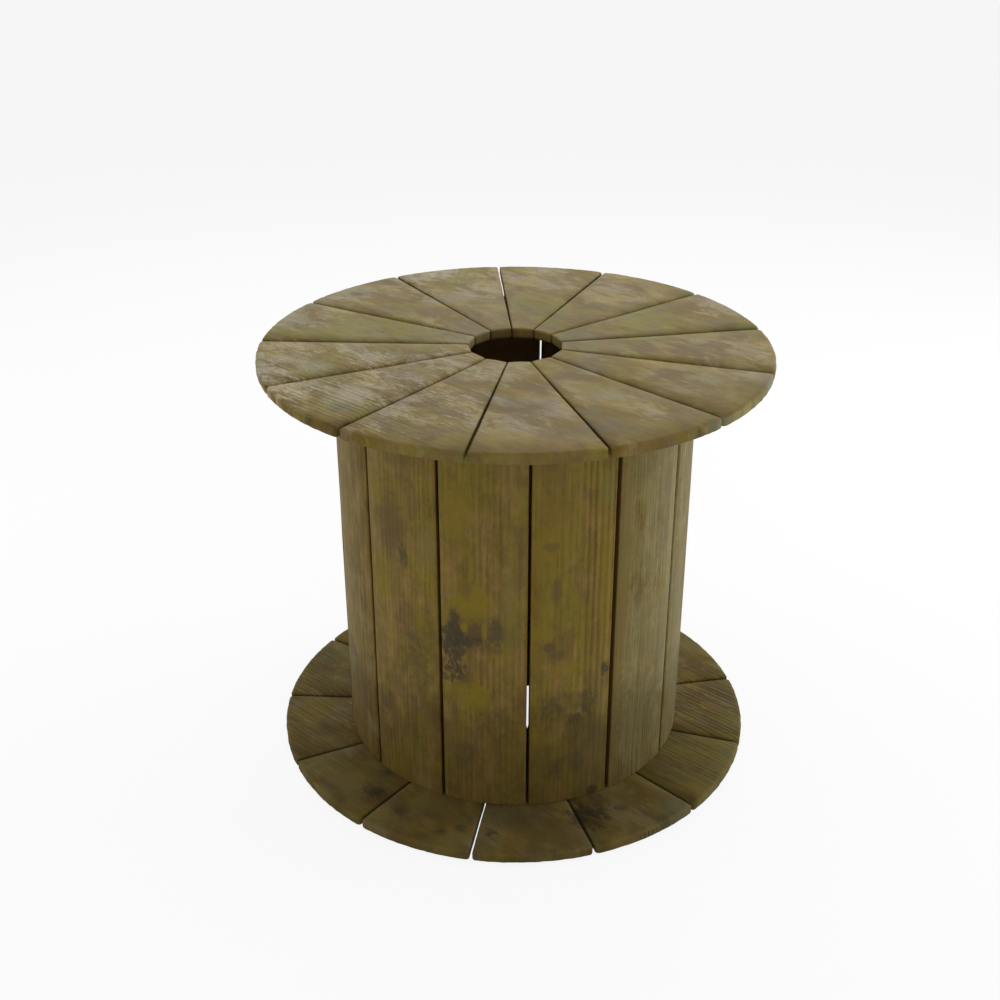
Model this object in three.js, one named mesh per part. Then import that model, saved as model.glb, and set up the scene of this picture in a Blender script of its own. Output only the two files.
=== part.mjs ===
// Wooden cable drum, standing on its end: two round flanges of wedge boards
// on a barrel of upright staves. Millimetres, +Z up. The origin is on the
// drum's axis, at the underside of the lower flange.

import * as THREE from 'three';

// Driving dimensions.
const FLANGE_RADIUS = 450;
const DRUM_HEIGHT = 778;
const PIECES_IN_RING = 13;
const FIRST_JOINT_DEGREES = -100; // a joint of both flanges, from +X

const BOARD_THICKNESS = 21;
const BOARD_ARRIS_WIDTH = 6; // how far the eased edge reaches in over the face
const BOARD_ARRIS_DEPTH = 5; // and how far it drops
const BOARD_CORNER = 5; // easing of the upright corners at the rim
const HOLE_APOTHEM = 81; // the spindle hole has one flat for each board
const JOINT_AT_HOLE = 2.4; // the joints between boards open towards the rim
const JOINT_AT_RIM = 4.8;

const BARREL_RADIUS = 320;
const STAVE_THICKNESS = 28; // at its middle, from the bowed face to the flat back
const STAVE_ARRIS = 3;
const STAVE_BACK_ARRIS = 1.5;
const STAVE_JOINT = 5.5;
const WIDE_STAVE_JOINT = 8.5; // one joint has opened further: the one after stave 02
const WIDE_AFTER_STAVE = 2;
const SEAT_GAP = 0.3; // between the staves' ends and the flanges

// Facets.
const ARC_FACETS = 4; // in each half of a board's or stave's arc
const CORNER_FACETS = 2;
const ARRIS_FACETS = 3;

// What follows from them.
const PITCH = (2 * Math.PI) / PIECES_IN_RING;
const HALF_PITCH = PITCH / 2;
const FIRST_JOINT = THREE.MathUtils.degToRad(FIRST_JOINT_DEGREES);
const STAVE_LENGTH = DRUM_HEIGHT - 2 * BOARD_THICKNESS - 2 * SEAT_GAP;

const topWood = new THREE.MeshStandardMaterial({ color: '#93886a', roughness: 0.9, metalness: 0 });
const staveWood = new THREE.MeshStandardMaterial({ color: '#6e5c33', roughness: 0.85, metalness: 0 });
const bottomWood = new THREE.MeshStandardMaterial({ color: '#544928', roughness: 0.9, metalness: 0 });

// Outlines. A piece lies on its own centre line, +X, with the drum's axis at 0,
// and its outline is drawn as the half above that line and a mirrored half.

function onCircle(radius, angle) {
  return new THREE.Vector2(radius * Math.cos(angle), radius * Math.sin(angle));
}

function mirrored(point) {
  return new THREE.Vector2(point.x, -point.y);
}

function arc(radius, endAngle) {
  const points = [];
  for (let i = 0; i < ARC_FACETS; i++) {
    points.push(onCircle(radius, (endAngle * i) / ARC_FACETS));
  }
  return points;
}

// The points that round off a corner between two edges.
function eased(before, corner, after, reach) {
  const start = corner.clone().add(before.clone().sub(corner).setLength(reach));
  const end = corner.clone().add(after.clone().sub(corner).setLength(reach));
  return new THREE.QuadraticBezierCurve(start, corner, end).getPoints(CORNER_FACETS);
}

function closed(upperHalf, lowerHalf) {
  return [...upperHalf, ...lowerHalf.slice(1).reverse().map(mirrored)];
}

// Half the width that a joint leaves of a piece, at a distance along its centre line.
function halfWidth(distance, halfJoint) {
  return distance * Math.tan(HALF_PITCH) - halfJoint / Math.cos(HALF_PITCH);
}

// The angle at which the edge of a joint meets a circle.
function angleOfEdge(radius, halfJoint) {
  return HALF_PITCH - Math.asin(halfJoint / radius);
}

// A wedge board from rim to hole, with every edge moved in by inset.
function boardOutline(inset) {
  const radius = FLANGE_RADIUS - inset;
  const corner = BOARD_CORNER * (1 - (0.6 * inset) / BOARD_ARRIS_WIDTH);
  const edgeAngle = angleOfEdge(radius, JOINT_AT_RIM / 2 + inset);
  const arcEnd = edgeAngle - corner / radius;
  const rimCorner = onCircle(radius, edgeAngle);
  const flat = HOLE_APOTHEM + inset;
  const holeCorner = new THREE.Vector2(flat, halfWidth(flat, JOINT_AT_HOLE / 2 + inset));
  const half = [
    ...arc(radius, arcEnd),
    ...eased(onCircle(radius, arcEnd), rimCorner, holeCorner, corner),
    holeCorner,
  ];
  return closed(half, half);
}

// Half of a stave's section, bowed outside and flat behind.
function staveHalf(joint) {
  const edgeAngle = angleOfEdge(BARREL_RADIUS, joint / 2);
  const arcEnd = edgeAngle - STAVE_ARRIS / BARREL_RADIUS;
  const faceCorner = onCircle(BARREL_RADIUS, edgeAngle);
  const back = BARREL_RADIUS - STAVE_THICKNESS;
  const backCorner = new THREE.Vector2(back, halfWidth(back, joint / 2));
  return [
    ...arc(BARREL_RADIUS, arcEnd),
    ...eased(onCircle(BARREL_RADIUS, arcEnd), faceCorner, backCorner, STAVE_ARRIS),
    ...eased(faceCorner, backCorner, mirrored(backCorner), STAVE_BACK_ARRIS),
  ];
}

// Solids.

// A closed solid through level outlines that have the same number of points.
function loft(sections) {
  const count = sections[0].outline.length;
  const positions = [];
  for (const { outline, height } of sections) {
    for (const point of outline) positions.push(point.x, point.y, height);
  }
  const faces = [];
  for (let level = 0; level < sections.length - 1; level++) {
    for (let i = 0; i < count; i++) {
      const here = level * count + i;
      const next = level * count + ((i + 1) % count);
      faces.push(here, next, next + count, here, next + count, here + count);
    }
  }
  const top = (sections.length - 1) * count;
  for (const [a, b, c] of THREE.ShapeUtils.triangulateShape(sections[0].outline, [])) {
    faces.push(c, b, a, top + a, top + b, top + c);
  }
  const indexed = new THREE.BufferGeometry();
  indexed.setAttribute('position', new THREE.Float32BufferAttribute(positions, 3));
  indexed.setIndex(faces);
  const geometry = indexed.toNonIndexed();
  geometry.computeVertexNormals();
  return geometry;
}

// The eased edge is a quarter of an ellipse, round both faces of the board.
function boardGeometry() {
  const underside = [];
  for (let i = 0; i <= ARRIS_FACETS; i++) {
    const turn = ((Math.PI / 2) * i) / ARRIS_FACETS;
    const outline = boardOutline(BOARD_ARRIS_WIDTH * (1 - Math.sin(turn)));
    underside.push({ outline, height: BOARD_ARRIS_DEPTH * (1 - Math.cos(turn)) });
  }
  const upperside = underside.map(({ outline, height }) => ({ outline, height: BOARD_THICKNESS - height }));
  return loft([...underside, ...upperside.reverse()]);
}

function staveGeometry(jointBefore, jointAfter) {
  const section = new THREE.Shape(closed(staveHalf(jointAfter), staveHalf(jointBefore)));
  return new THREE.ExtrudeGeometry(section, { depth: STAVE_LENGTH, bevelEnabled: false });
}

// The drum. Both flanges have their joints in line. The staves are half a pitch
// on, so each one carries the edges of two boards.

function place(name, index, geometry, material, height, angle) {
  const mesh = new THREE.Mesh(geometry, material);
  mesh.name = `${name}_${String(index + 1).padStart(2, '0')}`;
  mesh.position.z = height;
  mesh.rotation.z = angle;
  return mesh;
}

function flange(name, material, height) {
  const boards = new THREE.Group();
  const geometry = boardGeometry();
  for (let i = 0; i < PIECES_IN_RING; i++) {
    const angle = FIRST_JOINT + (i + 0.5) * PITCH;
    boards.add(place(name, i, geometry, material, height, angle));
  }
  return boards;
}

function jointAfterStave(number) {
  return number === WIDE_AFTER_STAVE ? WIDE_STAVE_JOINT : STAVE_JOINT;
}

function barrel() {
  const staves = new THREE.Group();
  for (let i = 0; i < PIECES_IN_RING; i++) {
    const geometry = staveGeometry(jointAfterStave(i), jointAfterStave(i + 1));
    const angle = FIRST_JOINT + i * PITCH;
    staves.add(place('stave', i, geometry, staveWood, BOARD_THICKNESS + SEAT_GAP, angle));
  }
  return staves;
}

const group = new THREE.Group();
group.add(flange('bottom_board', bottomWood, 0));
group.add(barrel());
group.add(flange('top_board', topWood, DRUM_HEIGHT - BOARD_THICKNESS));

export default group;
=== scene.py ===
import itertools
from math import asin, cos, pi, radians, sin, tan

import bpy
import numpy as np
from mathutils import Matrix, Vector


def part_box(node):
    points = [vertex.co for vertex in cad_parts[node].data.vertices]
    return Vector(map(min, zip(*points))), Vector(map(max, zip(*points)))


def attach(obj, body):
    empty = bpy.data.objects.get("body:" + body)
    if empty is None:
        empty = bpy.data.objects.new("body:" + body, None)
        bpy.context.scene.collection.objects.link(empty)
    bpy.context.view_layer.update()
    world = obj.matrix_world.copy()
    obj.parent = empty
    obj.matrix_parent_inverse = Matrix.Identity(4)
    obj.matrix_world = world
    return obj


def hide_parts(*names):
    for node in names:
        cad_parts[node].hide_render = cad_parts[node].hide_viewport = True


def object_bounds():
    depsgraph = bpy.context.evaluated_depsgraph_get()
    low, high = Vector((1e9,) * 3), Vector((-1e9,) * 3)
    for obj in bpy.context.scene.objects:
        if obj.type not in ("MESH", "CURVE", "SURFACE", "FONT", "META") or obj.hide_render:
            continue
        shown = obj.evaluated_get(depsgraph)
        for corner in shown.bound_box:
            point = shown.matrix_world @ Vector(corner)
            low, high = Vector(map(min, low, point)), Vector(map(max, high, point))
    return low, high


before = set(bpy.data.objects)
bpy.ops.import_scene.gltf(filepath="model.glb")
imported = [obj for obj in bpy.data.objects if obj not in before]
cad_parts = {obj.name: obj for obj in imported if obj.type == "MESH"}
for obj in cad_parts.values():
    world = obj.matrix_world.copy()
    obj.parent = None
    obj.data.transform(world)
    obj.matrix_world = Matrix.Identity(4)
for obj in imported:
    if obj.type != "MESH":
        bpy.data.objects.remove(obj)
cad_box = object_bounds()


# ---- Lower flange boards ---------------------------------------------------
# Thirteen wedges of planed softwood, laid side by side round the spindle hole
# and cut to one circle. Their edges are eased and the rim is rubbed round. They
# carry the drum and lie in its shade, and their colours are painted darker as painted shade.

PIECES_IN_RING = 13
HALF_PITCH = pi / PIECES_IN_RING
FIRST_JOINT = radians(-100)
FLANGE_RADIUS = 0.4495
BOARD_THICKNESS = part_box("bottom_board_01")[1][2]
ARRIS_WIDTH = 0.0065
ARRIS_DEPTH = 0.0050
HOLE_APOTHEM = 0.081
JOINT_AT_HOLE = 0.0016
JOINT_AT_RIM = 0.0042
HOLE_CORNER = 0.0012  # rounding of a board's upright corners
RIM_CORNER = 0.0055
SIDE_SAG = 0.0010  # how far a board's face sags towards its joints, and over what width
SIDE_SAG_WIDTH = 0.030
RIM_SAG = 0.0007
RIM_SAG_WIDTH = 0.025
LARGEST_STEP = 0.0004  # between the faces of two boards
RIM_WEAR = 0.0005
RAGGED_EDGE = 0.0003
SAWN_ROUGHNESS = 0.00016
UNEVENNESS = 0.00025
BOARD_GRAIN = radians(-41)  # the wedges were sawn from one panel, so the grain runs on over the joints


def waver(seed, *places):
    """Smooth noise between -1 and 1 at arrays of places, which are counted in cells. A cell further
    along each direction is another stride further through the table."""
    table = np.random.default_rng(seed).uniform(-1, 1, 8192)
    places = np.broadcast_arrays(*places)
    cells = [np.floor(place).astype(int) for place in places]
    parts = [place - cell for place, cell in zip(places, cells)]
    fades = [part * part * (3 - 2 * part) for part in parts]
    total = 0
    for corner in itertools.product((0, 1), repeat=len(places)):
        weight, key = 1, 0
        for near, cell, fade, stride in zip(corner, cells, fades, (1, 89, 1973)):
            weight = weight * (fade if near else 1 - fade)
            key = key + (cell + near) * stride
        total = total + weight * table[key % len(table)]
    return total


def spaced(reach, count):
    """Shares of a span as pairs (share of the middle part, reach in from an end), dense at both ends."""
    margin = reach * np.array([0, 0.05, 0.14, 0.27, 0.44, 0.68, 1])
    end = np.ones(len(margin))
    middle = np.linspace(-1, 1, count)[1:-1]
    inward = np.concatenate([margin, np.full(len(middle), reach), margin[::-1]])
    return np.concatenate([-end, middle, end]), inward


def eased(distance, reach):
    """1 at an edge, falling to 0 at the given reach in from it."""
    return np.clip(1 - distance / reach, 0, 1)


def round_corner(along, across, reach):
    """How far points near a square corner move in from its two edges so that the corner is round."""
    p, q = eased(along, reach), eased(across, reach)
    return reach * p * (1 - np.sqrt(1 - q * q / 2)), reach * q * (1 - np.sqrt(1 - p * p / 2))


def border(grid):
    """The border of a grid, once round, with the face to its left."""
    return np.concatenate([grid[:-1, 0], grid[-1, :-1], grid[:0:-1, -1], grid[0, :0:-1]])


def closed_solid(name, face, bands):
    """A mesh from a grid of points for the face, rings of points below its border for the sides,
    and flat strips across the last ring for the back."""
    rows, columns = face.shape[:2]
    index = np.arange(rows * columns).reshape(rows, columns)
    corners = [index[:-1, :-1], index[1:, :-1], index[1:, 1:], index[:-1, 1:]]
    faces = np.stack(corners, -1).reshape(-1, 4).tolist()
    above, count = border(index), rows * columns
    for band in bands:
        below = np.arange(count, count + len(band))
        faces += np.stack([above, below, np.roll(below, -1), np.roll(above, -1)], -1).tolist()
        above, count = below, count + len(band)
    smooth = len(faces)
    ring, far = above.tolist(), 2 * (rows - 1) + columns - 1
    left, right = ring[:rows], [ring[far - row] for row in range(rows)]
    faces.append(([left[0], left[1], right[1]] + ring[far:])[::-1])
    for row in range(1, rows - 2):
        faces.append([left[row], right[row], right[row + 1], left[row + 1]])
    faces.append(ring[rows - 2 : far - rows + 3][::-1])
    mesh = bpy.data.meshes.new(name)
    mesh.from_pydata(np.concatenate([face.reshape(-1, 3), *bands]).tolist(), [], faces)
    mesh.polygons.foreach_set("use_smooth", np.arange(len(faces)) < smooth)
    mesh.update()
    return mesh


def store(mesh, name, values):
    """Keeps a number or a place with each point of a mesh, for its material to read."""
    kind, field = ("FLOAT_VECTOR", "vector") if values.ndim == 2 else ("FLOAT", "value")
    mesh.attributes.new(name, kind, "POINT").data.foreach_set(field, values.ravel())


def half_width(distance, joint):
    """Half of what a joint leaves of a piece, at a distance along its centre line."""
    return distance * tan(HALF_PITCH) - joint / 2 / cos(HALF_PITCH)


def board_plan(share, inward, along, ends, inset, seed):
    """Points of a wedge board lying along +X, moved in from its outline by inset, with the distance of
    each from the hole, from the rim and from the nearer joint."""
    flat, radius = HOLE_APOTHEM + inset, FLANGE_RADIUS - inset
    near = half_width(flat, JOINT_AT_HOLE + 2 * inset)
    far = HALF_PITCH - asin((JOINT_AT_RIM / 2 + inset) / radius)
    across = share[None, :] * (near - inward[None, :]) + 0 * along[:, None]
    angle = share[None, :] * (far - inward[None, :] / radius)
    start = np.stack([flat + 0 * across, across], -1)
    worn = RIM_WEAR * (1 + waver(seed, angle * 60, 3.0) + 0.6 * waver(seed + 1, angle * 240, 1.0))
    rim = np.stack([(radius - worn) * np.cos(angle), (radius - worn) * np.sin(angle)], -1) + 0 * start
    run = rim - start
    length = np.linalg.norm(run, axis=-1)
    reach = ends[:, None] + (along[:, None] + 1) / 2 * (length - 2 * ends[:, None])
    points = start + run * (reach / length)[..., None]
    side = np.sign(share)[None, :] * np.ones_like(reach)
    edge = inward[None, :] + (1 - np.abs(share[None, :]))  # true near the joints, and large elsewhere
    from_hole, from_rim = reach, length - reach
    for distance, corner, way in ((from_hole, HOLE_CORNER, 1), (from_rim, RIM_CORNER, -1)):
        move_along, move_across = round_corner(distance, edge, corner)
        points[..., 0] += way * move_along
        points[..., 1] -= side * move_across
    ragged = 1 + waver(seed + 2, points[..., 0] * 26, side * 5)
    ragged = ragged + 0.4 * (1 + waver(seed + 3, points[..., 0] * 130, side * 7))
    points[..., 1] -= side * RAGGED_EDGE * ragged * eased(edge, 0.02)
    return points, from_hole, from_rim, edge


def flange_board(kind, number, base, wood, rows, columns, softness):
    """One wedge board: its face sags a little to its joints, with fine sawn relief, and it is flat below.
    softness: how widely the edges at some joints are eased, where that is not 1."""
    node = f"{kind}_{number:02d}"
    name = f"{node}_wood"
    seed = 100 * number + (0 if base == 0 else 7000)
    share, inward = spaced(ARRIS_WIDTH, columns)
    along, ends = spaced(ARRIS_WIDTH, rows)
    plan, from_hole, from_rim, edge = board_plan(share, inward, along, ends, 0, seed)
    middle = FIRST_JOINT + (2 * number - 1) * HALF_PITCH
    turn = np.array([[cos(middle), sin(middle)], [-sin(middle), cos(middle)]])
    before, after = [softness.get(joint % PIECES_IN_RING, 1.0) for joint in (number - 1, number)]
    soft = np.where(share < 0, before, after)[None, :] + 0 * from_hole
    worn_down = np.clip(0.55 + from_hole / 0.35, 0, 1)  # edges are eased less towards the hole
    p = eased(np.minimum(from_hole, from_rim), ARRIS_WIDTH * worn_down)
    q = eased(edge, ARRIS_WIDTH * worn_down * soft)
    round_over = 1 - np.sqrt(np.clip(1 - (p * p + q * q - p * p * q * q), 0, 1))
    from_side = plan[..., 0] * sin(HALF_PITCH) - np.abs(plan[..., 1]) * cos(HALF_PITCH) - JOINT_AT_HOLE / 2
    sag = SIDE_SAG * eased(from_side, SIDE_SAG_WIDTH) ** 2 + RIM_SAG * eased(from_rim, RIM_SAG_WIDTH) ** 2
    world = plan @ turn
    grain_u = world[..., 0] * cos(BOARD_GRAIN) + world[..., 1] * sin(BOARD_GRAIN)
    grain_v = world[..., 1] * cos(BOARD_GRAIN) - world[..., 0] * sin(BOARD_GRAIN)
    rough = SAWN_ROUGHNESS * (1 + waver(5 + int(base * 10), grain_u * 9, grain_v * 150))
    uneven = UNEVENNESS * (1 + waver(seed + 4, plan[..., 0] * 9, plan[..., 1] * 9))
    step = LARGEST_STEP * np.random.default_rng(seed + 5).random()
    drop = ARRIS_DEPTH * worn_down * np.where(q > p, soft, 1) * round_over
    drop = drop + (sag + rough + uneven + step) * (1 - 0.8 * round_over)
    top = base + BOARD_THICKNESS
    face = np.concatenate([world, (top - drop)[..., None]], -1)
    bands, rings = [], []
    straight = BOARD_THICKNESS - 2 * ARRIS_DEPTH
    levels = [(0, ARRIS_DEPTH + up * straight) for up in (0.7, 0.35, 0)]
    bends = (0.5, 0.95, 1.3, pi / 2)
    levels += [(ARRIS_WIDTH * 0.9 * (1 - cos(bend)), ARRIS_DEPTH * (1 - sin(bend))) for bend in bends]
    for inset, level in levels:
        outline = border(board_plan(share, inward, along, ends, inset, seed)[0])
        height = np.full(len(outline), level)
        bands.append(np.column_stack([outline @ turn, base + height]))
        rings.append(np.column_stack([outline, height]))
    mesh = closed_solid(name, face, bands)
    lie = np.concatenate([plan, face[..., 2:] - base], -1).reshape(-1, 3)
    store(mesh, "lie", np.concatenate([lie, *rings]))
    store(mesh, "soft", np.concatenate([soft.ravel()] + [np.ones(len(ring)) for ring in rings]))
    board = bpy.data.objects.new(name, mesh)
    bpy.context.scene.collection.objects.link(board)
    mesh.materials.append(wood)
    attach(board, "root")
    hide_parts(node)


class Wire:
    """An output of a node. Sums written with it add Math nodes."""

    def __init__(self, finish, socket):
        self.finish, self.socket = finish, socket

    def maths(self, operation, *others):
        values = dict(enumerate((self, *others)))
        return self.finish.node("ShaderNodeMath", {"operation": operation}, values)

    def __add__(self, other):
        return self.maths("ADD", other)

    def __sub__(self, other):
        return self.maths("SUBTRACT", other)

    def __rsub__(self, other):
        return self.finish.node("ShaderNodeMath", {"operation": "SUBTRACT"}, {0: other, 1: self})

    def __mul__(self, other):
        return self.maths("MULTIPLY", other)

    def __truediv__(self, other):
        return self.maths("DIVIDE", other)

    __radd__, __rmul__ = __add__, __mul__


class Finish:
    """The nodes of a material, or of the air in the room, added one by one."""

    def __init__(self, owner):
        self.owner = owner
        owner.use_nodes = True
        owner.node_tree.nodes.clear()

    def node(self, kind, settings=None, inputs=None, output=0):
        """Adds a node with its settings, then the values or links of its sockets. Gives one output."""
        node = self.owner.node_tree.nodes.new(kind)
        for key, value in (settings or {}).items():
            setattr(node, key, value)
        for key, value in (inputs or {}).items():
            if isinstance(value, Wire):
                self.owner.node_tree.links.new(value.socket, node.inputs[key])
            else:
                node.inputs[key].default_value = value
        return Wire(self, node.outputs[output]) if node.outputs else None

    def place(self):
        """Where a point is on the drum, in metres."""
        return self.node("ShaderNodeTexCoord", {}, {}, "Object")

    def stored(self, name, output="Fac"):
        return self.node("ShaderNodeAttribute", {"attribute_name": name}, {}, output)

    def parts(self, place):
        return [self.node("ShaderNodeSeparateXYZ", {}, {0: place}, side) for side in range(3)]

    def distance(self, x, y):
        return (x * x + y * y).maths("SQRT")

    def noise(self, place, cell, detail, roughness, distortion=0.0):
        """Noise whose cells have the given sizes along the directions of the place."""
        cells = tuple(1 / size for size in cell)
        counted = self.node("ShaderNodeVectorMath", {"operation": "MULTIPLY"}, {0: place, 1: cells})
        values = {"Vector": counted, "Scale": 1.0, "Detail": detail, "Roughness": roughness}
        return self.node("ShaderNodeTexNoise", {}, values | {"Distortion": distortion})

    def between(self, value, start, end):
        """0 up to start, 1 from end on and smooth between, upwards or downwards."""
        values = {"Value": value, "From Min": start, "From Max": end}
        return self.node("ShaderNodeMapRange", {"interpolation_type": "SMOOTHSTEP"}, values)

    def mix(self, factor, first, second, blend="MIX"):
        settings = {"data_type": "RGBA", "blend_type": blend, "clamp_factor": True}
        return self.node("ShaderNodeMix", settings, {0: factor, 6: first, 7: second}, 2)

    def wood(self, colour, roughness, height, specular):
        """The closing nodes of every wood here. Gives the material."""
        normal = self.node("ShaderNodeBump", {}, {"Height": height, "Distance": 1.0, "Strength": 1.0})
        values = {"Base Color": colour, "Roughness": roughness, "Normal": normal}
        values["Specular IOR Level"] = specular
        shader = self.node("ShaderNodeBsdfPrincipled", {}, values)
        self.node("ShaderNodeOutputMaterial", {}, {"Surface": shader})
        return self.owner


def paint(red, green, blue, level=1.0):
    """A colour given as it looks, as the shader wants it."""
    parts = [part / 255 for part in (red, green, blue)]
    parts = [part / 12.92 if part <= 0.04045 else ((part + 0.055) / 1.055) ** 2.4 for part in parts]
    return (*(part * level for part in parts), 1.0)


GRAIN_LINES = 0.0097  # spacing of the lines that stand out where the grain is crisp
COOL_CAST = paint(246, 249, 255)
GOLDEN_CAST = paint(252, 249, 210)
# painted light on the sides of the boards towards the right lamp
PAINTED_LIGHT_ON_RIGHT_SIDES = paint(209, 222, 255, 1.7)
CHECKED_RIM = radians(-58.9)  # where the rim's end grain has split
CHECKS_ROUND_RIM = 330
BOARD_SHOULDER = 0.26  # how deep a board rolls off to its joints, as a share of how widely it does


def board_wood(name, tones, marks, crisp_places, specular, roughness, shift, contrast):
    """Flat-sawn wood with weathered patches. tones: its colours, and the painted light and shade that the
    rim and
    the sides multiply them by. marks: patches of mould, moss and bleached wood, as x, y, size, strength and
    tone.
    crisp_places: where the grain stands out most. shift: sets the pattern apart from another flange's.
    contrast: how strongly the lines of the grain show."""
    finish = Finish(bpy.data.materials.new(name))
    place = finish.place()
    east, north = finish.parts(place)[:2]
    place = finish.node("ShaderNodeVectorMath", {"operation": "ADD"}, {0: place, 1: (shift, shift * 0.7, 0)})
    turned = {"Vector": place, "Angle": -BOARD_GRAIN}
    grain = finish.node("ShaderNodeVectorRotate", {"rotation_type": "Z_AXIS"}, turned)
    outward, sideways, upward = finish.parts(finish.stored("lie", "Vector"))

    fibre = finish.noise(grain, (0.070, 0.0019, 0.06), 2, 0.6)
    rings = finish.noise(grain, (0.26, 0.0046, 0.12), 2, 0.5, 0.2)
    mottle = finish.noise(grain, (0.034, 0.018, 0.04), 4, 0.6, 0.5)
    patch = finish.noise(grain, (0.090, 0.060, 0.1), 3, 0.5, 0.6)
    cloud = finish.noise(grain, (0.17, 0.14, 0.2), 3, 0.5, 0.8)
    speck = finish.noise(grain, (0.011, 0.0030, 0.02), 3, 0.65)
    golden = finish.noise(place, (0.075, 0.060, 0.1), 3, 0.5, 0.5)
    crisp = 0.3
    for x, y in crisp_places:
        crisp = crisp + finish.between(finish.distance(east - x, north - y), 0.42, 0.0) * 1.3
    across_grain = finish.parts(grain)[1] + (mottle - 0.5) * 0.007
    stripes = (across_grain * (2 * pi / GRAIN_LINES)).maths("SINE") * finish.between(crisp, 0.9, 1.5)

    tanned = finish.between(patch + (mottle - 0.5) * 0.15, 0.36, 0.66)
    algae = finish.between(cloud * 0.7 + patch * 0.3 + (mottle - 0.5) * 0.9, 0.48, 0.62)
    bleached = 1 - cloud + (mottle - 0.5) * 0.8 + (patch - 0.5) * 0.5 - east * 0.10
    bleached = finish.between(bleached + (fibre + speck - 1) * 0.35, 0.50, 0.82)
    golden = finish.between(golden + (mottle - 0.5) * 0.15, 0.38, 0.62)
    fleck = finish.between(speck + (fibre - 0.5) * 0.5 + (bleached - 0.5) * 0.14, 0.52, 0.68)
    grime = finish.between(patch * 0.6 + (1 - cloud) * 0.6 + (speck + mottle - 1) * 0.7, 0.76, 0.96)

    radial = finish.distance(outward, sideways)
    lip = finish.between(radial, FLANGE_RADIUS - 0.030, FLANGE_RADIUS - 0.002)
    rim = finish.between(radial, FLANGE_RADIUS - 0.058, FLANGE_RADIUS - 0.009)
    side = finish.between(upward, 0.0185, 0.0150)

    colour = finish.mix(tanned, tones["brown"], tones["tan"])
    colour = finish.mix(algae * 0.75, colour, tones["algae"])
    colour = finish.mix(bleached * 0.75, colour, tones["bleached"])
    colour = finish.mix(1.0, colour, finish.mix(golden, COOL_CAST, GOLDEN_CAST), "MULTIPLY")
    fleck = fleck * (bleached * 0.6 + 0.06) * finish.between(crisp, 0.0, 1.0)
    colour = finish.mix(fleck * (1 - lip * 0.8), colour, tones["fleck"])
    colour = finish.mix(grime * 0.55, colour, tones["grime"])
    torn = (mottle - 0.5) * 2.2 + (speck - 0.5) * 1.4
    for x, y, size, strength, tone in marks:
        far = finish.distance((east - x) / size, (north - y) / size)
        colour = finish.mix(finish.between(1 - far * 0.6 + torn, 0.15, 0.95) * strength, colour, tone)
    lines = (fibre - 0.5) * 0.95 + (rings - 0.5) * 0.7 + (speck - 0.5) * 0.35 + stripes * 0.08
    lines = lines * crisp * (1 - side * 0.5)
    shade = 1 + lines * contrast + (mottle - 0.5) * 0.2 + (patch - 0.5) * 0.4
    colour = finish.mix(1.0, colour, shade, "MULTIPLY")

    # Painted light and shade: the rim is painted darker in front and lighter towards the right lamp.
    towards_right_lamp = finish.between(east + north * 0.2, 0.16, 0.30)
    rim_light_and_shade = finish.mix(towards_right_lamp, tones["rim_light_behind"], tones["rim_light_right"])
    rim_light_and_shade = finish.mix(finish.between(north, -0.12, -0.40), rim_light_and_shade, tones["rim_shade_in_front"])
    painted_light_and_shade = finish.mix(rim, (1, 1, 1, 1), rim_light_and_shade)
    # Painted shade on the sides, and painted light on them towards the right lamp.
    painted_light_and_shade = finish.mix(side, painted_light_and_shade, finish.mix(towards_right_lamp * lip, tones["side"], PAINTED_LIGHT_ON_RIGHT_SIDES))
    colour = finish.mix(1.0, colour, painted_light_and_shade, "MULTIPLY")
    azimuth = north.maths("ARCTAN2", east)
    near = 1 - (azimuth - CHECKED_RIM).maths("ABSOLUTE") * 14
    checks = (azimuth * CHECKS_ROUND_RIM + (speck - 0.5) * 4).maths("SINE")
    checks = finish.between(checks + (near - 0.5) * 1.2, 0.5, 1.3) * side * finish.between(near, 0.0, 0.3)
    checks = checks * finish.between(radial, FLANGE_RADIUS - 0.006, FLANGE_RADIUS - 0.003)
    colour = finish.mix(checks * 0.9, colour, tones["grime"])

    from_joint = outward * sin(HALF_PITCH) - sideways.maths("ABSOLUTE") * cos(HALF_PITCH)
    shoulder = ((outward * 0.105 - 0.004) * finish.stored("soft")).maths("MAXIMUM", 0.004)
    edge = (1 - (from_joint - 0.0015) / shoulder).maths("MAXIMUM", 0)
    roll = edge * edge * shoulder * -BOARD_SHOULDER
    height = roll + (rings * 0.0010 + fibre * 0.0006 + speck * 0.0003 + stripes * 0.00015) * crisp
    return finish.wood(colour, roughness + side * (0.96 - roughness), height, specular)


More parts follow.
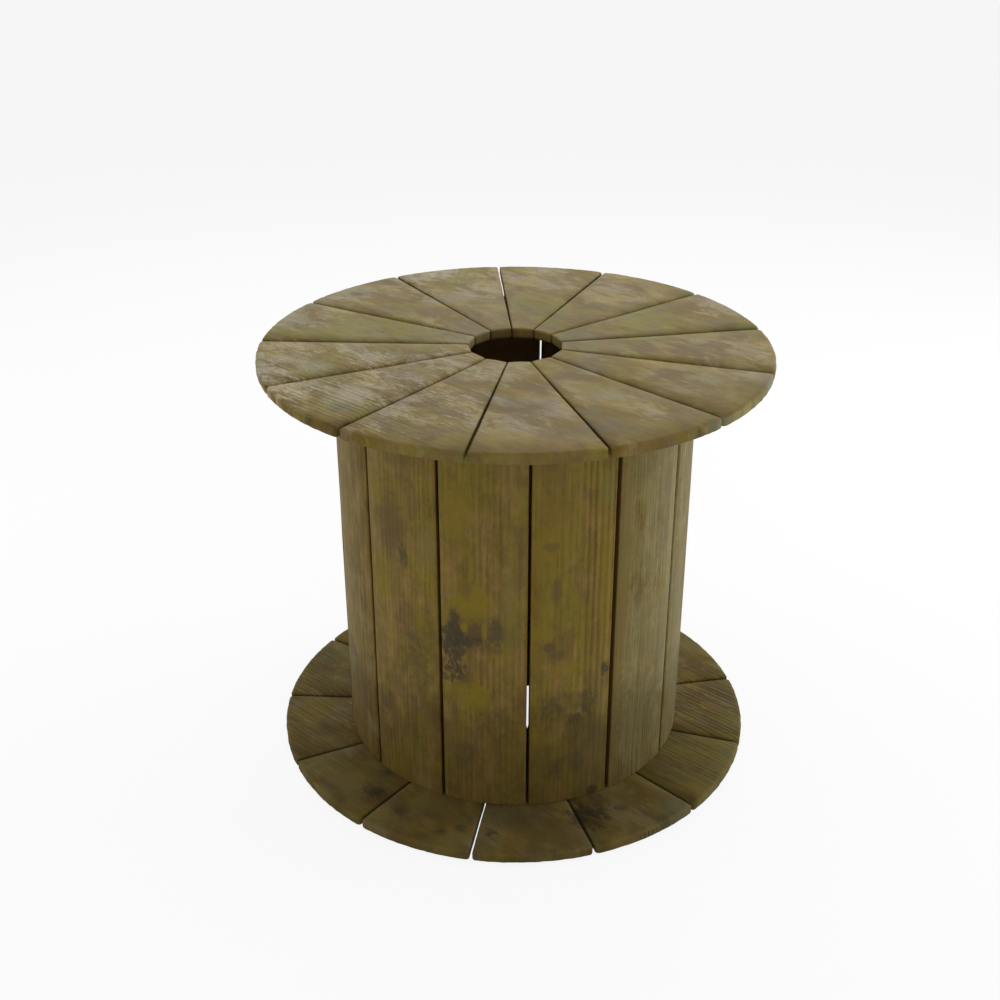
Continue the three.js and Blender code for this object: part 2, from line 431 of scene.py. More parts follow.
DIRT = paint(44, 37, 20)
DAMP_MOULD = paint(58, 50, 28)
MOSS = paint(84, 84, 54)
bottom_wood = board_wood(
    "weathered_wood_lower_flange",
    tones={
        # These colours are painted darker than the staves' wood, as painted shade.
        "brown": paint(88, 72, 37),
        "tan": paint(101, 85, 46),
        "algae": paint(94, 84, 40),
        "bleached": paint(104, 92, 60),
        "fleck": paint(122, 108, 72),
        "grime": paint(52, 43, 27),
        # Painted light and shade that the rim and the sides are multiplied by.
        "rim_shade_in_front": paint(249, 247, 239),
        "rim_light_behind": paint(255, 255, 250),
        "rim_light_right": paint(226, 235, 255, 1.45),
        "side": paint(241, 245, 255),
    },
    marks=(
        (-0.252, -0.282, 0.026, 0.85, DIRT),
        (-0.236, -0.224, 0.022, 0.60, DIRT),
        (-0.205, -0.333, 0.016, 0.65, DAMP_MOULD),
        (-0.132, -0.390, 0.012, 0.70, DIRT),
        (-0.094, -0.377, 0.014, 0.60, DIRT),
        (0.010, -0.350, 0.070, 0.50, DAMP_MOULD),
        (0.132, -0.342, 0.036, 0.95, DIRT),
        (0.140, -0.305, 0.026, 0.60, DAMP_MOULD),
        (0.190, -0.328, 0.011, 0.60, DIRT),
        (0.262, -0.355, 0.014, 0.65, DAMP_MOULD),
        (0.288, -0.326, 0.026, 0.85, MOSS),
        (0.407, -0.170, 0.014, 0.50, MOSS),
        (-0.366, -0.092, 0.026, 0.50, DAMP_MOULD),
        (-0.384, 0.157, 0.030, 0.55, MOSS),
        (-0.430, -0.010, 0.018, 0.60, paint(106, 97, 64)),
        (0.075, -0.444, 0.016, 0.60, DIRT),
        (-0.044, -0.392, 0.016, 0.55, DIRT),
        (-0.048, -0.448, 0.014, 0.60, paint(94, 77, 34)),
    ),
    crisp_places=((0.43, -0.05), (-0.42, 0.02)),
    specular=0.12,
    roughness=0.7,
    shift=3.1,
    contrast=0.9,
)
for number in range(1, PIECES_IN_RING + 1):
    flange_board("bottom_board", number, 0.0, bottom_wood, rows=80, columns=30, softness={})


# ---- Barrel staves ---------------------------------------------------------
# Thirteen upright staves, bowed on the outside and flat behind, held between the
# flanges half a board on from the boards' own joints. One joint has opened as the
# wood dried. The feet are darker, and mould has taken one side.

BARREL_RADIUS = 0.320
STAVE_THICKNESS = 0.028
STAVE_ARRIS = 0.003
STAVE_END_ARRIS = 0.0015
STAVE_BACK_ARRIS = 0.0012
STAVE_JOINT = 0.0054
HALF_FACE = HALF_PITCH * BARREL_RADIUS - STAVE_JOINT / 2  # of a stave, along its bow
SHOULDER_WIDTH = 0.028  # how wide a stave's face rolls off to its joints
STAVE_SHOULDER = 0.16  # and how deep, as a share of that
RIDGE_HEIGHT = 0.0011
STAVE_WEAR = 0.00035
TORN_FIBRE = 0.00022
CHIPPED_EDGE = 0.0002
JOINT_AFTER_STAVE = {1: 0.0044, 2: 0.0084, 7: 0.0048}  # two have stayed tighter and one has opened

# What sets single staves apart. A stave that isn't named takes its value from its number.
GREYING_AND_SHEEN = {13: 0.32, 1: 0.2, 2: 0.15, 3: 1.1, 4: 1.2, 12: 0.45}  # how weathered it is, and on the staves towards the sides a painted sheen too
RIDGES = {1: (0.0105, 0.45), 2: (0.0112, 0.85), 3: (0.0068, 0.50), 4: (0.009, 0.35)}  # spacing, strength
SIDE_LIGHT_AND_PALING = {1: 0.0, 2: 0.15, 3: 0.11, 12: -0.14, 13: 0.0}  # how much paler it gets towards one edge: painted light towards the side lamps on the staves listed, a random paling on the rest
MOST_RIDGED = 2  # the ridges of this stave stand out on one half and fade towards its foot


def stave(number, wood, rows, columns):
    """One stave: ridged and torn on its bowed face, plain at its sides and flat behind."""
    node = f"stave_{number:02d}"
    foot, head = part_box(node)[0][2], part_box(node)[1][2]
    seed = 300 + 20 * number
    joints = [JOINT_AFTER_STAVE.get(after, STAVE_JOINT) for after in (number - 1, number)]
    low, high = [HALF_PITCH - asin(joint / 2 / BARREL_RADIUS) for joint in joints]
    share, inward = spaced(STAVE_ARRIS, columns)
    along, ends = spaced(STAVE_END_ARRIS, rows)
    middle, half = (high - low) / 2, (high + low) / 2
    angle = (middle - share * (half - inward / BARREL_RADIUS))[None, :] + 0 * along[:, None]
    height = (foot + ends + (along + 1) / 2 * (head - foot - 2 * ends))[:, None] + 0 * angle
    p = eased(np.minimum(height - foot, head - height), STAVE_END_ARRIS)
    q = eased(inward, STAVE_ARRIS)[None, :]
    round_over = 1 - np.sqrt(np.clip(1 - (p * p * 0.4 + q * q - 0.4 * p * p * q * q), 0, 1))
    across = angle * BARREL_RADIUS

    period, strength = RIDGES.get(number, (0.008 + 0.006 * (seed * 0.37 % 1), 0.35))
    swing = 0.004 * waver(seed + 1, height * 2.2, across * 6)
    swing = swing + 0.0008 * waver(seed + 2, height * 14, across * 20)
    where = 0.5 + 0.5 * waver(seed + 3, height * 3, across * 16)
    if number == MOST_RIDGED:
        where = np.clip(0.15 + (across - 0.004) * 40, 0.12, 1)
        where = where * np.clip(0.5 + 2.0 * (height - 0.16), 0.35, 1)
    ridge = (0.5 + 0.5 * np.cos(2 * pi * (across + swing) / period)) ** 2.0 * strength * where
    worn = STAVE_WEAR * (1 + waver(seed + 4, height * 10, across * 26))
    torn = TORN_FIBRE * (1 + waver(seed + 5, height * 12, across * 210))
    drop = STAVE_ARRIS * 0.85 * round_over + (RIDGE_HEIGHT * ridge + worn + torn) * (1 - round_over)
    radius = BARREL_RADIUS - drop
    turn = FIRST_JOINT + 2 * (number - 1) * HALF_PITCH
    chipped = CHIPPED_EDGE * (1 + waver(seed + 6, height * 30, np.sign(share)[None, :] * 5.0))
    angle = angle + np.sign(share)[None, :] * q * chipped / BARREL_RADIUS
    face = np.stack([radius * np.cos(angle), radius * np.sin(angle), height], -1)
    edge = border(face)
    back = BARREL_RADIUS - STAVE_THICKNESS
    reach = [-half_width(back, joints[0]), half_width(back, joints[1])]
    share_round = (edge[:, 1] - edge[:, 1].min()) / (edge[:, 1].max() - edge[:, 1].min())
    bands = []
    for depth, inset in ((0.3, 0), (0.65, 0), (0.94, 0), (1, STAVE_BACK_ARRIS)):
        behind = reach[0] + inset + share_round * (reach[1] - reach[0] - 2 * inset)
        level = np.clip(edge[:, 2], foot + inset, head - inset)
        target = np.column_stack([np.full(len(edge), back), behind, level])
        bands.append(edge + (target - edge) * depth)
    spin = np.array([[cos(turn), sin(turn), 0], [-sin(turn), cos(turn), 0], [0, 0, 1]])
    mesh = closed_solid(f"{node}_wood", face @ spin, [band @ spin for band in bands])
    shift = np.array([number * 1.37, number * 2.11, 0])  # so that no two staves have the same grain
    lie = [np.stack([across, height, -drop], -1).reshape(-1, 3) + shift]
    lie += [np.column_stack([band[:, 1], band[:, 2], band[:, 0] - BARREL_RADIUS]) + shift for band in bands]
    side_light_and_paling = SIDE_LIGHT_AND_PALING.get(number, 0.2 * (seed * 0.83 % 1) - 0.1) * across / HALF_FACE
    sides = np.zeros(len(mesh.vertices) - ridge.size)
    store(mesh, "lie", np.concatenate(lie))
    store(mesh, "ridge", np.concatenate([ridge.ravel(), sides]))
    store(mesh, "greying_and_sheen", np.full(len(mesh.vertices), GREYING_AND_SHEEN.get(number, seed * 0.61 % 1)))
    store(mesh, "side_light_and_paling", np.concatenate([side_light_and_paling.ravel(), sides]))
    piece = bpy.data.objects.new(f"{node}_wood", mesh)
    bpy.context.scene.collection.objects.link(piece)
    mesh.materials.append(wood)
    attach(piece, "root")
    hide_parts(node)


STAVE_BROWN = paint(104, 86, 38)
STAVE_TAN = paint(117, 94, 46)
STAVE_GREY = paint(118, 108, 70)
STAVE_ALGAE = paint(110, 96, 29)
DRY_BACK = paint(165, 133, 80)
PAINTED_GROOVE_SHADE = paint(208, 186, 166)  # what the painted shade in the grooves, the darkening at the foot and the shade of a joint leave of a colour
FOOT_DARKENING = paint(174, 168, 154)
IN_JOINTS = paint(192, 158, 98)
WARM_SHADE = (0.88, 1.0, 1.4)  # the dark lines of the grain are warmer than the pale ones
MOULD = paint(57, 49, 32)
MAUVE = paint(81, 63, 39)
BROWN_MOULD = paint(97, 75, 40)
GREEN_MOULD = paint(81, 70, 36)
DARK_GREEN = paint(70, 62, 33)
OLIVE = paint(114, 96, 22)
SOFT_GREEN = paint(106, 96, 44)
DEEP_OLIVE = paint(108, 89, 24)

# Azimuth in degrees, height, half the width and half the height, how solid it is, its strength, how
# soft its edge is, and its tone. Later stains lie over earlier ones.
STAINS = (
    (-103.1, 0.437, 0.028, 0.048, 0.60, 0.85, 0.16, OLIVE),
    (-101.1, 0.244, 0.021, 0.032, 0.60, 0.75, 0.16, OLIVE),
    (-82.1, 0.380, 0.024, 0.016, 0.60, 0.70, 0.16, OLIVE),
    (-61.6, 0.430, 0.010, 0.100, 0.50, 0.60, 0.30, OLIVE),
    (-119.7, 0.366, 0.016, 0.022, 0.90, 0.85, 0.16, OLIVE),
    (-130.0, 0.590, 0.026, 0.044, 0.50, 0.60, 0.25, OLIVE),
    (-131.0, 0.045, 0.016, 0.020, 0.40, 0.55, 0.20, OLIVE),
    (-91.9, 0.420, 0.018, 0.080, 0.50, 0.50, 0.50, SOFT_GREEN),
    (-117.7, 0.535, 0.020, 0.044, 0.50, 0.55, 0.35, SOFT_GREEN),
    (-63.0, 0.560, 0.014, 0.140, 0.50, 0.50, 0.40, OLIVE),
    (-83.0, 0.520, 0.020, 0.150, 0.50, 0.55, 0.50, DEEP_OLIVE),
    (-110.5, 0.600, 0.014, 0.080, 0.50, 0.50, 0.45, DEEP_OLIVE),
    (-78.5, 0.620, 0.020, 0.080, 0.40, 0.45, 0.40, paint(112, 86, 40)),
    (-65.0, 0.130, 0.034, 0.120, 0.50, 0.50, 0.50, paint(96, 88, 50)),
    (-126.0, 0.363, 0.024, 0.036, 0.50, 0.50, 0.40, MAUVE),
    (-55.8, 0.430, 0.016, 0.360, 0.70, 0.70, 0.40, paint(110, 92, 46)),
    (-62.5, 0.640, 0.014, 0.030, 0.50, 0.60, 0.30, paint(98, 94, 44)),
    (-62.5, 0.690, 0.014, 0.018, 0.40, 0.55, 0.35, GREEN_MOULD),
    (-131.3, 0.230, 0.016, 0.026, 0.40, 0.55, 0.35, paint(80, 67, 35)),
    (-34.7, 0.356, 0.018, 0.040, 0.40, 0.50, 0.40, paint(111, 102, 76)),
    (-108.5, 0.316, 0.026, 0.034, 0.50, 0.60, 0.40, BROWN_MOULD),
    (-104.0, 0.375, 0.044, 0.034, 0.60, 0.65, 0.45, MAUVE),
    (-98.0, 0.352, 0.022, 0.012, 0.45, 0.55, 0.30, MAUVE),
    (-109.6, 0.376, 0.019, 0.019, 0.60, 0.88, 0.24, MOULD),
    (-110.8, 0.350, 0.017, 0.016, 0.60, 0.88, 0.24, MOULD),
    (-106.3, 0.362, 0.020, 0.013, 0.55, 0.88, 0.24, MOULD),
    (-109.1, 0.404, 0.010, 0.016, 0.50, 0.75, 0.20, MOULD),
    (-102.2, 0.381, 0.014, 0.018, 0.60, 0.85, 0.18, MAUVE),
    (-101.8, 0.366, 0.009, 0.008, 0.40, 0.75, 0.16, MOULD),
    (-96.2, 0.386, 0.014, 0.028, 0.60, 0.90, 0.22, paint(76, 66, 38)),
    (-91.8, 0.374, 0.016, 0.018, 0.50, 0.45, 0.45, GREEN_MOULD),
    (-105.9, 0.389, 0.006, 0.009, 0.50, 0.90, 0.14, OLIVE),
    (-99.6, 0.386, 0.005, 0.014, 0.50, 0.85, 0.14, OLIVE),
    (-105.2, 0.461, 0.009, 0.018, 0.50, 0.70, 0.20, BROWN_MOULD),
    (-109.0, 0.294, 0.022, 0.022, 0.10, 0.85, 0.12, MOULD),
    (-106.4, 0.283, 0.014, 0.008, 0.25, 0.85, 0.12, MOULD),
    (-110.2, 0.322, 0.014, 0.016, 0.05, 0.80, 0.14, MOULD),
    (-99.8, 0.314, 0.008, 0.018, 0.40, 0.60, 0.20, BROWN_MOULD),
    (-117.0, 0.365, 0.018, 0.026, 0.40, 0.65, 0.35, GREEN_MOULD),
    (-122.5, 0.340, 0.016, 0.020, 0.40, 0.70, 0.25, GREEN_MOULD),
    (-122.0, 0.290, 0.032, 0.040, 0.25, 0.70, 0.22, paint(77, 65, 33)),
    (-131.0, 0.560, 0.028, 0.056, 0.60, 0.72, 0.35, MAUVE),
    (-126.0, 0.690, 0.038, 0.034, 0.40, 0.45, 0.45, GREEN_MOULD),
    (-126.3, 0.500, 0.009, 0.020, 0.50, 0.80, 0.20, paint(66, 59, 35)),
    (-80.1, 0.352, 0.012, 0.009, 0.60, 0.80, 0.20, MAUVE),
    (-77.4, 0.337, 0.014, 0.008, 0.60, 0.75, 0.20, GREEN_MOULD),
    (-61.1, 0.287, 0.008, 0.014, 0.60, 0.80, 0.20, MOULD),
    (-79.0, 0.228, 0.018, 0.020, 0.15, 0.65, 0.14, DARK_GREEN),
    (-67.8, 0.226, 0.016, 0.026, 0.30, 0.65, 0.16, DARK_GREEN),
    (-71.5, 0.200, 0.014, 0.012, 0.35, 0.75, 0.14, DARK_GREEN),
    (-75.0, 0.240, 0.040, 0.016, 0.40, 0.40, 0.40, GREEN_MOULD),
    (-77.0, 0.093, 0.012, 0.024, 0.35, 0.50, 0.30, DARK_GREEN),
    (-64.2, 0.030, 0.011, 0.011, 0.60, 0.75, 0.20, MOULD),
    (-106.7, 0.121, 0.014, 0.034, 0.40, 0.55, 0.30, GREEN_MOULD),
    (-136.0, 0.141, 0.010, 0.018, 0.30, 0.50, 0.25, paint(150, 118, 58)),
    (-51.2, 0.654, 0.016, 0.040, 0.40, 0.50, 0.35, paint(92, 84, 46)),
    (-38.0, 0.520, 0.012, 0.050, 0.40, 0.40, 0.35, paint(104, 96, 66)),
    (-35.5, 0.260, 0.014, 0.055, 0.40, 0.50, 0.35, paint(96, 90, 62)),
    (-24.0, 0.350, 0.026, 0.066, 0.40, 0.45, 0.45, paint(104, 98, 72)),
    (-107.7, 0.612, 0.026, 0.042, 0.60, 0.60, 0.25, OLIVE),
    (-80.9, 0.556, 0.026, 0.036, 0.50, 0.55, 0.22, OLIVE),
    (-82.4, 0.167, 0.012, 0.030, 0.50, 0.50, 0.25, OLIVE),
    (-77.9, 0.462, 0.009, 0.022, 0.60, 0.60, 0.20, paint(84, 68, 38)),
    (-74.0, 0.305, 0.030, 0.014, 0.50, 0.55, 0.25, OLIVE),
    (-79.8, 0.547, 0.014, 0.008, 0.50, 0.55, 0.20, paint(82, 70, 32)),
    (-45.0, 0.150, 0.045, 0.080, 0.50, 0.45, 0.35, paint(99, 92, 52)),
    (-70.2, 0.107, 0.012, 0.026, 0.40, 0.50, 0.25, DARK_GREEN),
    (-104.5, 0.255, 0.028, 0.030, 0.50, 0.55, 0.22, OLIVE),
    (-137.0, 0.616, 0.018, 0.036, 0.50, 0.50, 0.25, OLIVE),
    (-136.2, 0.429, 0.020, 0.028, 0.50, 0.55, 0.22, OLIVE),
    (-83.8, 0.330, 0.012, 0.036, 0.60, 0.55, 0.25, DEEP_OLIVE),
    (-137.9, 0.111, 0.014, 0.030, 0.50, 0.50, 0.30, paint(106, 82, 34)),
    (-88.6, 0.518, 0.008, 0.050, 0.50, 0.45, 0.30, MAUVE),
    (-107.6, 0.343, 0.012, 0.014, 0.50, 0.75, 0.18, MOULD),
    (-108.6, 0.533, 0.010, 0.020, 0.50, 0.50, 0.25, paint(104, 78, 44)),
    (-48.8, 0.410, 0.010, 0.014, 0.40, 0.45, 0.25, GREEN_MOULD),
    (-42.1, 0.661, 0.026, 0.018, 0.40, 0.45, 0.30, paint(110, 97, 64)),
    (-52.8, 0.510, 0.018, 0.060, 0.50, 0.55, 0.25, SOFT_GREEN),
    (-46.0, 0.330, 0.018, 0.050, 0.50, 0.55, 0.25, paint(104, 98, 54)),
    (-48.0, 0.600, 0.012, 0.040, 0.50, 0.50, 0.25, paint(112, 105, 58)),
    (-36.5, 0.600, 0.012, 0.036, 0.50, 0.50, 0.30, paint(106, 92, 64)),
    (-54.5, 0.190, 0.014, 0.060, 0.50, 0.50, 0.25, paint(92, 82, 40)),
    (-41.0, 0.140, 0.016, 0.050, 0.50, 0.45, 0.25, paint(88, 82, 46)),
    (-40.1, 0.288, 0.016, 0.030, 0.50, 0.50, 0.35, paint(97, 88, 58)),
)


def stave_wood(name, specular, roughness):
    """Wood with its grain upright, stained in patches, greyed stave by stave partly as painted sheen, darker
    at the foot, with painted light and shade.
    """
    finish = Finish(bpy.data.materials.new(name))
    place = finish.place()
    lie = finish.stored("lie", "Vector")
    ridge, greying_and_sheen, side_light_and_paling = [finish.stored(layer) for layer in ("ridge", "greying_and_sheen", "side_light_and_paling")]
    east, north, height = finish.parts(place)
    round_barrel = north.maths("ARCTAN2", east)
    staves_on = (round_barrel - FIRST_JOINT) / (2 * HALF_PITCH) + 20.5  # positive all round
    from_middle = ((staves_on.maths("FRACT") - 0.5) * (2 * HALF_PITCH * BARREL_RADIUS)).maths("ABSOLUTE")
    behind = finish.parts(lie)[2] * -1

    fibre = finish.noise(lie, (0.0017, 0.050, 0.03), 3, 0.6)
    rings = finish.noise(lie, (0.0064, 0.28, 0.06), 2, 0.5, 0.15)
    patch = finish.noise(lie, (0.040, 0.080, 0.1), 3, 0.5, 0.6)
    cloud = finish.noise(place, (0.09, 0.09, 0.14), 3, 0.5, 0.7)
    speck = finish.noise(lie, (0.0045, 0.009, 0.02), 3, 0.65)
    ragged = finish.noise(lie, (0.016, 0.026, 0.03), 4, 0.62, 0.3)
    blotch = finish.noise(place, (0.042, 0.042, 0.060), 4, 0.5, 0.5)
    tatter = finish.noise(lie, (0.013, 0.015, 0.03), 3, 0.6, 0.4)

    reddish = finish.between(patch + (ragged - 0.5) * 0.4, 0.38, 0.70)
    olive = finish.between(blotch * 0.65 + cloud * 0.35 + (ragged - 0.5) * 0.25 - greying_and_sheen * 0.055, 0.47, 0.54)
    # Greyer patches; on the staves towards the sides the greying is partly painted sheen.
    grey_patches_and_sheen = finish.between(1 - cloud + (patch - 0.5) * 0.6 + (greying_and_sheen - 0.5) * 0.55, 0.50, 0.80)

    colour = finish.mix(reddish, STAVE_BROWN, STAVE_TAN)
    colour = finish.mix(grey_patches_and_sheen * 0.85, colour, STAVE_GREY)
    colour = finish.mix(olive * (0.75 - greying_and_sheen * 0.35), colour, STAVE_ALGAE)
    # Painted shade in the grooves between the ridges.
    colour = finish.mix(ridge, colour, PAINTED_GROOVE_SHADE, "MULTIPLY")
    lines = (fibre - 0.5) * 0.85 + (rings - 0.5) * 0.85 + (speck - 0.5) * 0.5 + (ragged - 0.5) * 0.55
    # The paling across a stave is painted light towards the side lamps on the front staves, random on the
    # rest.
    shade = lines * (greying_and_sheen * 0.36 + 0.84) + (patch - 0.5) * 0.3 + side_light_and_paling
    warmed = {0: shade, 1: WARM_SHADE, 2: (1, 1, 1)}
    shade = finish.node("ShaderNodeVectorMath", {"operation": "MULTIPLY_ADD"}, warmed)
    colour = finish.mix(1.0, colour, shade, "MULTIPLY")

    broken = (tatter - 0.5) * 1.2 + (speck - 0.5) * 1.1
    for azimuth, level, wide, tall, solid, strength, soft, tone in STAINS:
        sideways = (round_barrel - radians(azimuth)) * (BARREL_RADIUS / wide)
        far = finish.distance(sideways, (height - level) / tall)
        stain = finish.between((1 - far) * solid + broken, -soft, soft) * finish.between(far, 1.7, 0.9)
        colour = finish.mix(stain * strength, colour, tone)

    # Darker towards the foot of each stave.
    darker_below = height + (cloud - 0.5) * 0.18 + (patch - 0.5) * 0.10 + (ragged - 0.5) * 0.05
    darker_below = finish.between(darker_below, 0.27, 0.16)
    colour = finish.mix(darker_below * (0.80 - greying_and_sheen * 0.22), colour, FOOT_DARKENING, "MULTIPLY")
    colour = finish.mix(finish.between(behind, 0.0014, 0.0060), colour, IN_JOINTS, "MULTIPLY")
    colour = finish.mix(finish.between(behind, 0.020, 0.027), colour, DRY_BACK)
    edge = (1 - (HALF_FACE - from_middle) / SHOULDER_WIDTH).maths("MAXIMUM", 0)
    roll = edge * edge * (SHOULDER_WIDTH * STAVE_SHOULDER)
    relief = rings * 0.0009 + fibre * 0.0005 + speck * 0.0003 - roll
    return finish.wood(colour, roughness, relief, specular)


barrel_wood = stave_wood("weathered_wood_barrel", specular=0.16, roughness=0.65)
for number in range(1, PIECES_IN_RING + 1):
    stave(number, barrel_wood, rows=116, columns=74)


# ---- Upper flange boards ---------------------------------------------------
# The same wedges again, over the barrel. They lie open to sun and rain, and are paler and
# greyer than the staves, partly as painted sheen, in a greyer tan with paler flecks and thin algae.

DRUM_HEIGHT = cad_box[1][2]
MOULD_GREY = paint(112, 102, 81)
DARK_MOULD = paint(86, 73, 42)
LICHEN = paint(99, 97, 68)
PALE_FIBRE = paint(163, 151, 129)
PALE_GREY = paint(152, 146, 127)
WARM_BROWN = paint(130, 109, 60)
YELLOW_MOSS = paint(124, 112, 46)
top_wood = board_wood(
    "weathered_wood_upper_flange",
    tones={
        # These colours are paler and greyer than the staves' wood, partly as painted sheen.
        "brown": paint(122, 104, 67),
        "tan": paint(139, 120, 80),
        "algae": paint(124, 119, 66),
        "bleached": paint(156, 146, 122),
        "fleck": paint(187, 176, 153),
        "grime": paint(103, 91, 69),
        # Painted light and shade that the rim and the sides are multiplied by.
        "rim_shade_in_front": paint(234, 223, 181),
        "rim_light_behind": paint(255, 255, 252),
        "rim_light_right": paint(253, 255, 249, 1.06),
        "side": paint(228, 221, 203),
    },
    marks=(
        (-0.206, 0.376, 0.050, 0.60, PALE_GREY),
        (-0.310, 0.285, 0.050, 0.60, PALE_GREY),
        (-0.412, 0.128, 0.044, 0.65, PALE_GREY),
        (-0.352, -0.110, 0.040, 0.50, PALE_GREY),
        (-0.428, -0.124, 0.030, 0.95, paint(166, 155, 136)),
        (-0.262, -0.226, 0.048, 0.80, PALE_FIBRE),
        (-0.170, -0.240, 0.032, 0.70, PALE_FIBRE),
        (-0.112, -0.078, 0.040, 0.70, PALE_FIBRE),
        (-0.022, -0.145, 0.034, 0.55, PALE_FIBRE),
        (-0.210, -0.300, 0.028, 0.50, PALE_FIBRE),
        (0.372, 0.221, 0.034, 0.55, PALE_FIBRE),
        (-0.190, -0.150, 0.040, 0.60, PALE_FIBRE),
        (-0.350, -0.225, 0.026, 0.60, PALE_FIBRE),
        (0.395, -0.020, 0.045, 0.45, PALE_FIBRE),
        (-0.060, 0.200, 0.050, 0.50, paint(124, 109, 68)),
        (-0.378, -0.194, 0.034, 1.00, paint(176, 162, 134)),
        (-0.144, -0.325, 0.020, 0.50, PALE_FIBRE),
        (-0.189, -0.291, 0.022, 0.50, PALE_FIBRE),
        (-0.380, -0.060, 0.036, 0.45, PALE_FIBRE),
        (-0.182, 0.385, 0.045, 0.60, PALE_FIBRE),
        (-0.050, 0.300, 0.050, 0.40, PALE_FIBRE),
        (0.205, -0.300, 0.020, 0.40, PALE_FIBRE),
        (-0.431, -0.106, 0.018, 0.70, PALE_GREY),
        (-0.332, -0.185, 0.024, 0.60, PALE_FIBRE),
        (-0.414, -0.154, 0.016, 0.60, PALE_FIBRE),
        (-0.160, -0.069, 0.024, 0.60, PALE_FIBRE),
        (-0.274, -0.011, 0.024, 0.50, PALE_FIBRE),
        (-0.255, -0.363, 0.014, 0.60, PALE_FIBRE),
        (-0.440, -0.050, 0.016, 0.60, PALE_GREY),
        (-0.388, -0.239, 0.014, 0.55, PALE_FIBRE),
        (0.130, -0.346, 0.038, 0.70, MOULD_GREY),
        (0.112, 0.024, 0.042, 0.80, paint(108, 99, 73)),
        (0.048, -0.264, 0.020, 0.60, MOULD_GREY),
        (0.412, -0.176, 0.022, 0.70, MOULD_GREY),
        (0.418, -0.148, 0.022, 0.70, MOULD_GREY),
        (0.113, -0.085, 0.026, 0.55, MOULD_GREY),
        (0.060, 0.080, 0.020, 0.45, MOULD_GREY),
        (0.151, 0.198, 0.022, 0.60, MOULD_GREY),
        (0.000, -0.265, 0.022, 0.65, MOULD_GREY),
        (0.030, -0.228, 0.018, 0.50, MOULD_GREY),
        (0.415, 0.140, 0.014, 0.45, MOULD_GREY),
        (0.010, 0.392, 0.016, 0.45, MOULD_GREY),
        (-0.274, -0.280, 0.022, 0.90, paint(102, 98, 82)),
        (0.275, 0.345, 0.050, 0.35, paint(128, 114, 78)),
        (-0.084, 0.060, 0.036, 0.80, paint(112, 99, 64)),
        (-0.383, 0.200, 0.022, 0.80, paint(110, 108, 82)),
        (0.030, -0.440, 0.060, 0.60, WARM_BROWN),
        (0.205, -0.385, 0.040, 0.50, WARM_BROWN),
        (0.231, -0.357, 0.022, 0.50, YELLOW_MOSS),
        (-0.233, -0.300, 0.014, 0.70, YELLOW_MOSS),
        (-0.161, -0.420, 0.010, 0.60, YELLOW_MOSS),
        (-0.302, 0.269, 0.014, 0.70, DARK_MOULD),
        (-0.262, -0.336, 0.010, 0.70, DARK_MOULD),
        (-0.276, -0.352, 0.008, 0.70, DARK_MOULD),
        (-0.326, -0.313, 0.010, 0.70, DARK_MOULD),
        (-0.130, -0.395, 0.011, 0.85, paint(98, 86, 54)),
        (0.264, -0.350, 0.022, 0.90, LICHEN),
        (0.304, -0.332, 0.020, 0.60, paint(95, 92, 72)),
        (0.301, -0.338, 0.015, 0.85, LICHEN),
        (0.281, -0.354, 0.011, 0.70, DARK_MOULD),
        (0.310, -0.346, 0.010, 0.60, DARK_MOULD),
        (-0.178, -0.425, 0.014, 0.70, paint(94, 82, 47)),
        (-0.028, -0.392, 0.022, 0.60, WARM_BROWN),
        (-0.255, 0.033, 0.036, 0.50, paint(138, 117, 80)),
        (-0.320, 0.206, 0.022, 0.50, paint(120, 109, 77)),
        (-0.012, 0.132, 0.034, 0.45, WARM_BROWN),
        (-0.122, 0.236, 0.026, 0.40, paint(120, 107, 74)),
        (0.060, 0.412, 0.030, 0.60, PALE_GREY),
        (-0.131, 0.415, 0.032, 0.70, paint(170, 160, 142)),
        (0.395, 0.180, 0.030, 0.55, PALE_GREY),
        (0.310, -0.228, 0.048, 0.40, WARM_BROWN),
        (0.267, -0.150, 0.030, 0.35, WARM_BROWN),
        (0.182, -0.210, 0.026, 0.35, WARM_BROWN),
    ),
    crisp_places=((-0.33, -0.28),),
    specular=0.12,
    roughness=0.6,
    shift=0.0,
    contrast=0.85,
)
SOFTNESS = {0: 0.8, 1: 0.75, 6: 0.75, 7: 0.65, 8: 0.6, 9: 0.85, 10: 1.15, 11: 1.1}
for number in range(1, PIECES_IN_RING + 1):
    base = DRUM_HEIGHT - BOARD_THICKNESS
    flange_board("top_board", number, base, top_wood, rows=110, columns=42, softness=SOFTNESS)


# ---- Floor -----------------------------------------------------------------
# A plain pale floor, level with the undersides of the lower boards.

FLOOR_REACH = 30
SHADE_SHOWN = 0.13  # how much of the drum's shadow is seen on it

floor_mesh = bpy.data.meshes.new("floor")
corners = [(x * FLOOR_REACH, y * FLOOR_REACH, 0) for x, y in ((-1, -1), (1, -1), (1, 1), (-1, 1))]
floor_mesh.from_pydata(corners, [], [(0, 1, 2, 3)])
floor = bpy.data.objects.new("floor", floor_mesh)
bpy.context.scene.collection.objects.link(floor)
pale = Finish(bpy.data.materials.new("pale_floor"))


def seen(finish):
    """1 for a ray that the camera, a gloss or a glass sends, otherwise 0."""
    ways = ("Is Camera Ray", "Is Glossy Ray", "Is Transmission Ray")
    camera_ray, gloss, glass = [finish.node("ShaderNodeLightPath", {}, {}, way) for way in ways]
    return (camera_ray + gloss + glass).maths("MINIMUM", 1)


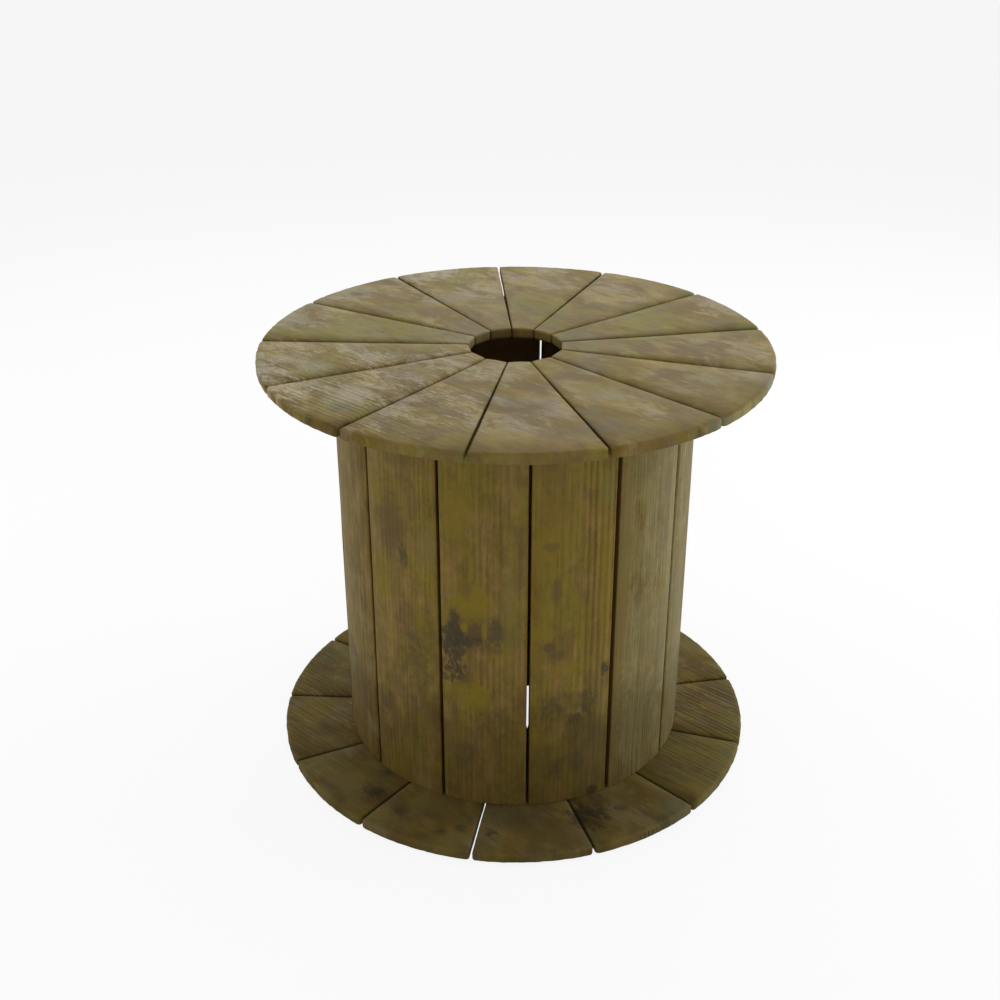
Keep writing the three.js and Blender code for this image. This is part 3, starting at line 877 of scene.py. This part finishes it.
matt = pale.node("ShaderNodeBsdfDiffuse", {}, {"Color": (0.72, 0.72, 0.70, 1)})
bright = pale.node("ShaderNodeBsdfDiffuse", {}, {"Color": (0.9, 0.9, 0.9, 1)})
glow = pale.node("ShaderNodeEmission", {}, {"Color": (1, 1, 1, 1), "Strength": 1.0})
shown = pale.node("ShaderNodeMixShader", {}, {0: SHADE_SHOWN, 1: glow, 2: bright})
surface = pale.node("ShaderNodeMixShader", {}, {0: seen(pale), 1: matt, 2: shown})
pale.node("ShaderNodeOutputMaterial", {}, {"Surface": surface})
floor_mesh.materials.append(pale.owner)


# ---- Light -----------------------------------------------------------------
# Plain soft light: a pale room with broad soft boxes overhead, on each side and in
# front, all turned to the middle of the drum.

LIT_POINT = (0, 0, 0.4)

room = bpy.data.worlds.new("pale_room")
bpy.context.scene.world = room
air = Finish(room)
dim = air.node("ShaderNodeBackground", {}, {"Color": (1, 1, 1, 1), "Strength": 0.42})
white = air.node("ShaderNodeBackground", {}, {"Color": (1, 1, 1, 1), "Strength": 1.0})
sky = air.node("ShaderNodeMixShader", {}, {0: seen(air), 1: dim, 2: white})
air.node("ShaderNodeOutputWorld", {}, {"Surface": sky})


def soft_box(name, size, power, place):
    lamp = bpy.data.lights.new(name, "AREA")
    lamp.shape, lamp.size, lamp.energy = "SQUARE", size, power
    holder = bpy.data.objects.new(name, lamp)
    holder.location = place
    towards = Vector([b - a for a, b in zip(place, LIT_POINT)])
    holder.rotation_euler = towards.to_track_quat("-Z", "Y").to_euler()
    bpy.context.scene.collection.objects.link(holder)


soft_box("soft_box_overhead", 3.0, 40, (0.0, 2.0, 2.7))
soft_box("soft_box_right", 2.0, 68, (3.2, 0.8, 1.3))
soft_box("soft_box_left", 2.0, 34, (-3.2, 0.2, 1.2))
soft_box("soft_box_front", 2.4, 50, (0.4, -3.7, 0.6))


# ---- Camera ----------------------------------------------------------------
# It looks down on the drum from a standing height in front.

lens = bpy.data.cameras.new("camera")
lens.sensor_width, lens.lens, lens.clip_end = 36, 49.589, 200
camera = bpy.data.objects.new("camera", lens)
camera.location = (-0.02695, -2.26429, 1.63378)
camera.rotation_euler = (radians(62.8214), 0, 0)
bpy.context.scene.collection.objects.link(camera)
bpy.context.scene.camera = camera
bpy.context.scene.view_settings.view_transform = "Standard"
